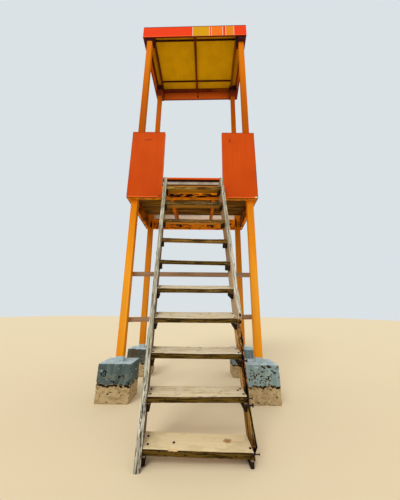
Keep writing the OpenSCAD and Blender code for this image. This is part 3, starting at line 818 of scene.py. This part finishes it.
for centre, size in (((0.386, 0.01, 0.95), (0.024, 0.05, 0.045)), ((0.380, 0.01, 0.80), (0.016, 0.05, 0.06)),
                     ((0.372, 0.01, 0.655), (0.012, 0.06, 0.025)), ((0.378, 0, 0.43), (0.02, 0.06, 0.055)),
                     ((0.38, 0.06, 0.345), (0.01, 0.03, 0.02))):
    coat(ladder_timber, "#120c08", right_rail, spot(centre, size, 0.4))
coat(ladder_timber, "#c89a5c", spot((0.389, 0.0, 1.008), (0.018, 0.04, 0.036), 0.15))
coat(ladder_timber, "#070403", spot((0.391, 0.0, 1.004), (0.012, 0.05, 0.024), 0.1))
relief(ladder_timber, rail_grain, 0.001)


def rail_place(side):
    """Frame of a rail: X across from its inner face, Y from its front edge to its rear, Z up along it."""
    ahead = rail_thickness * math.sin(ladder_turn) if side > 0 else 0.0
    return (Matrix.Translation(ladder_foot + Vector((side * ladder_clear / 2, -ahead, 0)))
            @ Euler((-ladder_lean, 0, ladder_turn)).to_matrix().to_4x4())


# What the rot has left of the right rail, each as pairs of height along it and metres:
# the width of its front face, how far its front is eaten back, and where its crack runs.
face_width = ((0.10, 0.032), (0.123, 0.028), (0.147, 0.024), (0.19, 0.021), (0.26, 0.015), (0.31, 0.013),
              (0.40, 0.011), (0.50, 0.016), (0.70, 0.021), (0.80, 0.027), (0.86, 0.027), (0.90, 0.022),
              (0.95, 0.030), (1.03, 0.042))
eaten_back = ((0.119, 0.125), (0.131, 0.040), (0.15, 0.010), (0.20, 0.004), (0.30, 0.010), (0.36, 0.022),
              (0.45, 0.020), (0.60, 0.016), (0.66, 0.024), (0.72, 0.012), (0.92, 0.012), (1.03, 0.0))
crack_line = ((0.12, 0.020), (0.34, 0.004), (0.75, 0.004))


def along(outline, height):
    """The value of an outline at a height along it."""
    if height <= outline[0][0]:
        return outline[0][1]
    for (low, value_low), (high, value_high) in zip(outline, outline[1:]):
        if height <= high:
            return value_low + (value_high - value_low) * (height - low) / (high - low)
    return outline[-1][1]


def rail_wear(at):
    """Furrows a rail plank along its grain, and eats away the right one's outer front corner and foot."""
    out = side * at.x
    front = max(0.0, 1 - at.y / 0.09)
    furrow = max(0.0, noise.noise(Vector((out * 110, at.y * 60, at.z * 3 + 9 * side))) - 0.1)
    low_end = max(0.0, 1 - at.z / 0.9)
    back = (0.003 + 0.006 * low_end) * furrow * front
    if side < 0:
        return Vector((at.x, at.y + back * (1 - at.y / rail_width), at.z))
    rot = max(0.0, min(1.0, (1.05 - at.z) / 0.08))
    kept = 1 - (1 - along(face_width, at.z) / rail_thickness) * front
    across = out * kept
    inner = 0.0035 * rot * max(0.0, 1 - at.y / 0.07) * abs(noise.noise(Vector((2.1, at.y * 70, at.z * 4))))
    across += inner * (1 - out / rail_thickness)
    back += along(eaten_back, at.z + 0.025 * min(1.0, out / 0.034)) + 0.010 * rot * furrow * front
    if at.z < 0.76:
        back += 0.014 * front * math.exp(-((across - along(crack_line, at.z)) / 0.003) ** 2)
    back += 0.016 * front * math.exp(-((across - 0.0235) / 0.006) ** 2 - ((at.z - 1.005) / 0.014) ** 2)
    return Vector((across, back + at.y * (rail_width - back) / rail_width, at.z))


def cut_off(*planes):
    """Cuts the active piece off at planes and closes it. Each is a point and the direction of what stays."""
    bpy.ops.object.mode_set(mode="EDIT")
    for at, kept in planes:
        bpy.ops.mesh.select_all(action="SELECT")
        bpy.ops.mesh.bisect(plane_co=at, plane_no=kept, use_fill=True, clear_inner=True)
    bpy.ops.object.mode_set(mode="OBJECT")


for side, hand in ((-1, "left"), (1, "right")):
    low_x, high_x = sorted((0, side * rail_thickness))
    # It starts 20 mm too long and is sawn off level with the ground.
    rail = block("weathered_rail_" + hand, (low_x, 0, -0.02), (high_x, rail_width, rail_length), 0.003,
                 (14, 20, 330))
    worn_by(rail, rail_wear)
    settle(rail, rail_place(side))
    cut_off(((0, 0, 0), (0, 0, 1)))
    stand_for("ladder_rail_" + hand, rail, ladder_timber)


# Treads: planks cut to fit between the turned rails, each tilted its own way, on a cleat at each end.
# They are bare: sandy and pale on top, olive brown at the worn front edge, and golden brown below.
# The lowest one has lost a chip from its front edge.
tread_top = "#e4d3aa"
tread_grain = "#b3a27c"
tread_edge = "#644e1c"
tread_thickness, tread_depth, tread_setback = 0.045, 0.162, 0.012
left_per_rise = math.sin(ladder_turn) * math.tan(ladder_lean)
back_per_rise = math.cos(ladder_turn) * math.tan(ladder_lean)
tread_heights = [0.099, 0.378889, 0.653778, 0.923667, 1.193556, 1.490444, 1.763333, 2.042222, 2.325111, 2.609]
tread_tilts = [11, 9, 10, 19, 16, 12, 15, 15, 13, 13]
tread_rolls = [1.4, -0.4, 0.2, -0.1, 0, 0.9, 1, 0.4, 0.6, 0.2]
tread_timber = bare_timber("worn_tread_softwood", "#b8821c", "#7c5418", 0, 60.0)
coats(tread_timber, [
    (tread_edge, faces_front),
    ("#80683a", faces_front, rising("Z", 1.5, 2.1), 0.7),
    ("#c08a40", faces_front, rising("Z", 1.55, 1.7), rising("Z", 2.2, 2.1), 0.3),
    # The top tread's front is painted lighter, as painted light.
    ("#c4a052", faces_front, rising("Z", 2.4, 2.5), 0.8),
    ("#8a7448", faces_front, rising("Z", 0.6, 0.8),
     blotches((0.12, 0.05, 0.02), 0.56, 0.05, shift=60.5), 0.6),
    ("#221803", faces_front, blotches((0.2, 0.05, 0.010), 0.52, 0.05, shift=61.0), 0.85),
    ("#160f04", faces_front, blotches((0.02, 0.05, 0.012), 0.62, 0.03, shift=61.5), 0.8),
    ("#e08e12", faces_down, rising("Z", 1.9, 1.98), rising("Z", 2.2, 2.1), 0.7)])
# A dark line runs along the front under the upper edge, and along the lower edge.
below_top = add(tread_timber, "Attribute", attribute_name="below_top").outputs["Fac"]
for start, end, line_strength in ((0.012, 0.007, 0.85), (0.036, 0.041, 0.6)):
    coat(tread_timber, "#2a1214", faces_front, blotches((0.12, 0.05, 0.05), 0.42, 0.08, shift=61.8),
         add(tread_timber, "MapRange", {"Value": below_top, "From Min": start, "From Max": end}),
         line_strength)
tread_up = facing("Z", 0.6, 0.85)
coats(tread_timber, [
    (tread_top, tread_up),
    ("#d8d6cc", tread_up, rising("Z", 0.3, 0.45), 0.5),
    (tread_grain, tread_up, rising("Z", 0.2, 0.5), blotches((0.3, 0.010, 0.04), 0.55, 0.06, shift=62.0), 0.8),
    ("#cbb98e", tread_up, blotches((0.12, 0.06, 0.2), 0.55, 0.08, shift=63.0), 0.6),
    ("#8f8468", tread_up, rising("Z", 0.2, 0.3),
     blotches((0.05, 0.016, 0.1), 0.64, 0.03, 6.0, shift=64.0), 0.8),
    # A brown mark and a pale splintered chip on the lowest tread.
    ("#b08850", tread_up, spot((0.320, -1.118, 0.113), (0.032, 0.02, 0.04), 0.8), 0.6),
    ("#986a3c", tread_up, spot((0.318, -1.116, 0.113), (0.026, 0.015, 0.04), 0.8), 0.75),
    ("#d8bc92", spot((-0.049, -1.207, 0.0995), (0.033, 0.014, 0.010), 0.3))])


def tread_place(number):
    """Frame of a tread: X along it, Y from its front edge to its rear, Z up from its top face."""
    z = tread_heights[number]
    at = ladder_foot + Vector((-z * left_per_rise, z * back_per_rise + tread_setback, z))
    turn = Euler((math.radians(tread_tilts[number]), math.radians(tread_rolls[number]), 0))
    return Matrix.Translation(at) @ turn.to_matrix().to_4x4()


def tread_wear(at):
    """Rounds and dents a tread's front edge, and hollows its top a little where it is stepped on."""
    middle = max(0.0, 1 - (at.x / 0.3) ** 2)
    top = max(0.0, 1 + at.z / tread_thickness)
    edge = max(0.0, 1 - at.y / 0.03)
    ragged = abs(noise.noise(Vector((at.x * 14, number * 3.1, at.z * 20))))
    grain = 0.0012 * noise.noise(Vector((at.x * 4, at.y * 120, number * 5.7)))
    drop = top * (0.0015 * middle + 0.003 * edge * (middle + ragged)) + grain * top
    back = edge * (0.004 * ragged + 0.002 * top * middle)
    if number == 0:
        chip = max(0.0, 1 - ((at.x + 0.165) / 0.035) ** 2) * max(0.0, 1 - at.y / 0.014) * max(0.0, top * 2 - 1)
        drop += 0.009 * chip
        back += 0.003 * chip
    return Vector((at.x, at.y + back, at.z - max(0.0, drop)))


across_rails = Vector((math.cos(ladder_turn), math.sin(ladder_turn), 0))
for number in range(10):
    tread = block("tread_%d" % (number + 1), (-0.42, 0, -tread_thickness), (0.42, tread_depth, 0), 0.004,
                  (84, 18, 6))
    below_top = tread.data.attributes.new("below_top", "FLOAT", "POINT")
    below_top.data.foreach_set("value", [-vertex.co.z for vertex in tread.data.vertices])
    worn_by(tread, tread_wear)
    settle(tread, tread_place(number))
    # Its ends are sawn to the rails' inner faces, 0.3 mm short of them.
    cut_off(*((rail_place(side).translation - side * 0.0003 * across_rails, -side * across_rails)
              for side in (-1, 1)))
    stand_for("ladder_treads", tread, tread_timber)

# The cleats are bare softwood, painted nearly black for the shade under the treads.
cleat_timber = bare_timber("shade_dark_softwood", "#33241a", "#1c130d", 1, 66.0)
coat(cleat_timber, "#a08878", facing("Z", 0.6, 0.85), 0.8)
dress(cleat_timber, "tread_cleats")

# The treads are nailed to the cleats from above. The heads, 17 mm across, are wet with rust and near black.
wide_head = turned(10, 0.0085, -0.001, 0.0035, 0.0025)
seen_nails = {
    0: [(-0.353, 0.113), (-0.340, 0.039), (-0.167, 0.063), (0.348, 0.037)],
    1: [(-0.358, 0.110), (-0.351, 0.036), (0.334, 0.114), (0.312, 0.091), (0.345, 0.034)],
    2: [(-0.355, 0.026), (-0.365, 0.140), (0.340, 0.114), (0.344, 0.023)],
    3: [(-0.362, 0.112), (-0.355, 0.036), (0.340, 0.116), (0.345, 0.024)]}
black_iron = new_material("wet_black_iron", "#180c0a", 0.8, 2.3)
coat(black_iron, "#3c1c14", blotches((0.008, 0.008, 0.008), 0.55, 0.1, shift=2.0))
tread_nails = []
for number in range(10):
    frame_of_tread = tread_place(number)
    upward = frame_of_tread.to_3x3() @ Vector((0, 0, 1))
    usual = [(-0.352 + 0.004 * (number % 3), 0.035), (-0.358, 0.115),
             (0.342, 0.03 + 0.003 * (number % 4)), (0.336, 0.118)]
    for x, y in seen_nails.get(number, usual):
        tread_nails.append((frame_of_tread @ Vector((x, y, -0.001)), upward))
fastened(set_out("tread_nails", wide_head, tread_nails), black_iron)


def end_of_tread(side, number, back):
    """Point on a rail's inner face beside the end of a tread, in the rail's frame."""
    turn = rail_place(side).inverted() @ tread_place(number)
    half = -tread_thickness / 2
    end_x = -(turn[0][1] * back + turn[0][2] * half + turn[0][3]) / turn[0][0]
    return turn @ Vector((end_x, back, half))


# Two more nails go through each rail into each tread. Where the right rail has rotted away round them,
# their shanks show and their heads stand proud.
rail_nails = []
for side in (-1, 1):
    frame_of_rail = rail_place(side)
    outward = frame_of_rail.to_3x3() @ Vector((side, 0, 0))
    for number in range(10):
        for back in (0.045, 0.125):
            if side > 0 and number < 4 and back < 0.1:
                continue
            at = end_of_tread(side, number, back)
            rail_nails.append((frame_of_rail @ Vector((side * rail_thickness, at.y, at.z)), outward))
fastened(set_out("rail_nails", nail_head, rail_nails), rusty_iron)
thin_nail = joined("thin_nail", [
    turned(8, 0.0036, -0.03, 0.033, 0.0005), turned(10, 0.0065, 0.033, 0.037, 0.002)])
thick_nail = joined("thick_nail", [
    turned(8, 0.0065, -0.03, 0.030, 0.0005), turned(12, 0.0125, 0.030, 0.036, 0.004)])
frame_of_rail = rail_place(1)
across_frame = frame_of_rail.to_3x3() @ Vector((1, 0, 0))
for name, pattern, places in (("thin_proud_nails", thin_nail, ((0.020, 0.0948), (0.010, 0.3984))),
                              ("thick_proud_nails", thick_nail, ((0.014, 0.3577), (0.014, 0.6496)))):
    fastened(set_out(name, pattern, [
        (frame_of_rail @ Vector((0, back, height)), across_frame) for back, height in places]), black_iron)
for pattern in (bolt_end, nail_head, wide_head, thin_nail, thick_nail):
    bpy.data.objects.remove(pattern)


# The ground under the tower: a plain pale floor out to the horizon.
# It only carries the tower's shadow in the picture, and is no part of the tower.
bpy.ops.mesh.primitive_plane_add(size=60, location=(0, 20, 0))
floor = bpy.context.object
floor.name = "floor"
floor.data.materials.append(new_material("pale_floor", "#ecdfc0", 0.95))


# Light: an even pale sky, and one large soft lamp high in front of the tower, to its left.
# The camera, and what mirrors or lets through the sky, see a bluer sky than the one that lights.
sky = bpy.data.worlds.new("sky")
sky.use_nodes = True
bpy.context.scene.world = sky
shown = sky.node_tree.nodes["Background"]
shown.inputs["Color"].default_value = linear("#dbe2e6")
lit = add(sky, "Background", {"Color": linear("#fff8ee"), "Strength": 0.75})
rays = add(sky, "LightPath")
seen = rays.outputs["Is Camera Ray"]
for kind in ("Is Glossy Ray", "Is Transmission Ray"):
    seen = add(sky, "Math", {0: seen, 1: rays.outputs[kind]}, operation="MAXIMUM")
mixed = add(sky, "MixShader", {0: seen, 1: lit, 2: shown})
sky.node_tree.links.new(mixed.outputs[0], sky.node_tree.nodes["World Output"].inputs["Surface"])

bpy.ops.object.light_add(type="SUN", rotation=(math.radians(48), 0, math.radians(-24)))
sun = bpy.context.object.data
sun.energy = 1.2
sun.angle = math.radians(25)
sun.color = (1.0, 0.97, 0.92)


# Camera: a wide lens, 16 mm on a frame 36 mm wide, held low in front of the ladder and tipped up.
# It stands 1.7 m in front of the ladder's foot and about a metre above the ground.
tip, turn, roll = 0.2704, 0.0007, 0.0088
camera_at = (0.1151, -2.9793, 0.9727)
ahead = Vector((math.sin(turn) * math.cos(tip), math.cos(turn) * math.cos(tip), math.sin(tip)))
level = Vector((math.cos(turn), -math.sin(turn), 0))
upright = level.cross(ahead)
right = level * math.cos(roll) + upright * math.sin(roll)
up = upright * math.cos(roll) - level * math.sin(roll)
bpy.ops.object.camera_add()
camera = bpy.context.object
camera.matrix_world = Matrix.Translation(camera_at) @ Matrix((right, up, -ahead)).transposed().to_4x4()
camera.data.sensor_width = 36
camera.data.lens = 16.185
camera.data.clip_end = 200
bpy.context.scene.camera = camera

bpy.context.scene.view_settings.view_transform = "Standard"
